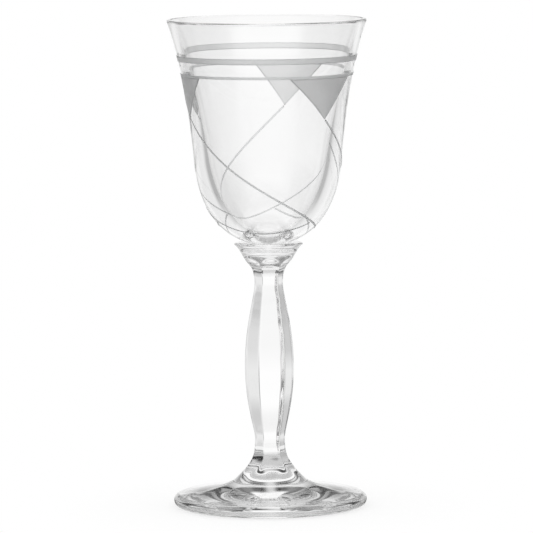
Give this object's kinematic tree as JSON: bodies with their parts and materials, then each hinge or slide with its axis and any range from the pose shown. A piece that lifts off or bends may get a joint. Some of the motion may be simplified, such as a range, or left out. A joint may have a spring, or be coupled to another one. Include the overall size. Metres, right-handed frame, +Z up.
{
  "type": "sherry glass",
  "caption": "Small stemmed glass for sherry: a bell-shaped bowl with a satin band and triangle pattern, a six-sided baluster stem and a round foot.",
  "frame": {"origin": "centre of the standing ring under the foot, on the table", "axes": "+Z up the axis of the glass, from the foot to the rim; the pictured side faces -Y"},
  "size_m": [0.06, 0.06, 0.147],
  "materials": {
    "clear_glass": "polished",
    "satin_glass": "satin"
  },
  "bodies": {
    "root": {"bowl": "clear_glass", "stem": "clear_glass", "foot": "clear_glass", "upper_frosted_band": "satin_glass", "lower_frosted_band": "satin_glass", "frosted_triangle_1": "satin_glass", "frosted_triangle_2": "satin_glass", "frosted_triangle_3": "satin_glass", "sweeping_line_1": "satin_glass", "sweeping_line_2": "satin_glass", "sweeping_line_3": "satin_glass"}
  },
  "joints": []
}
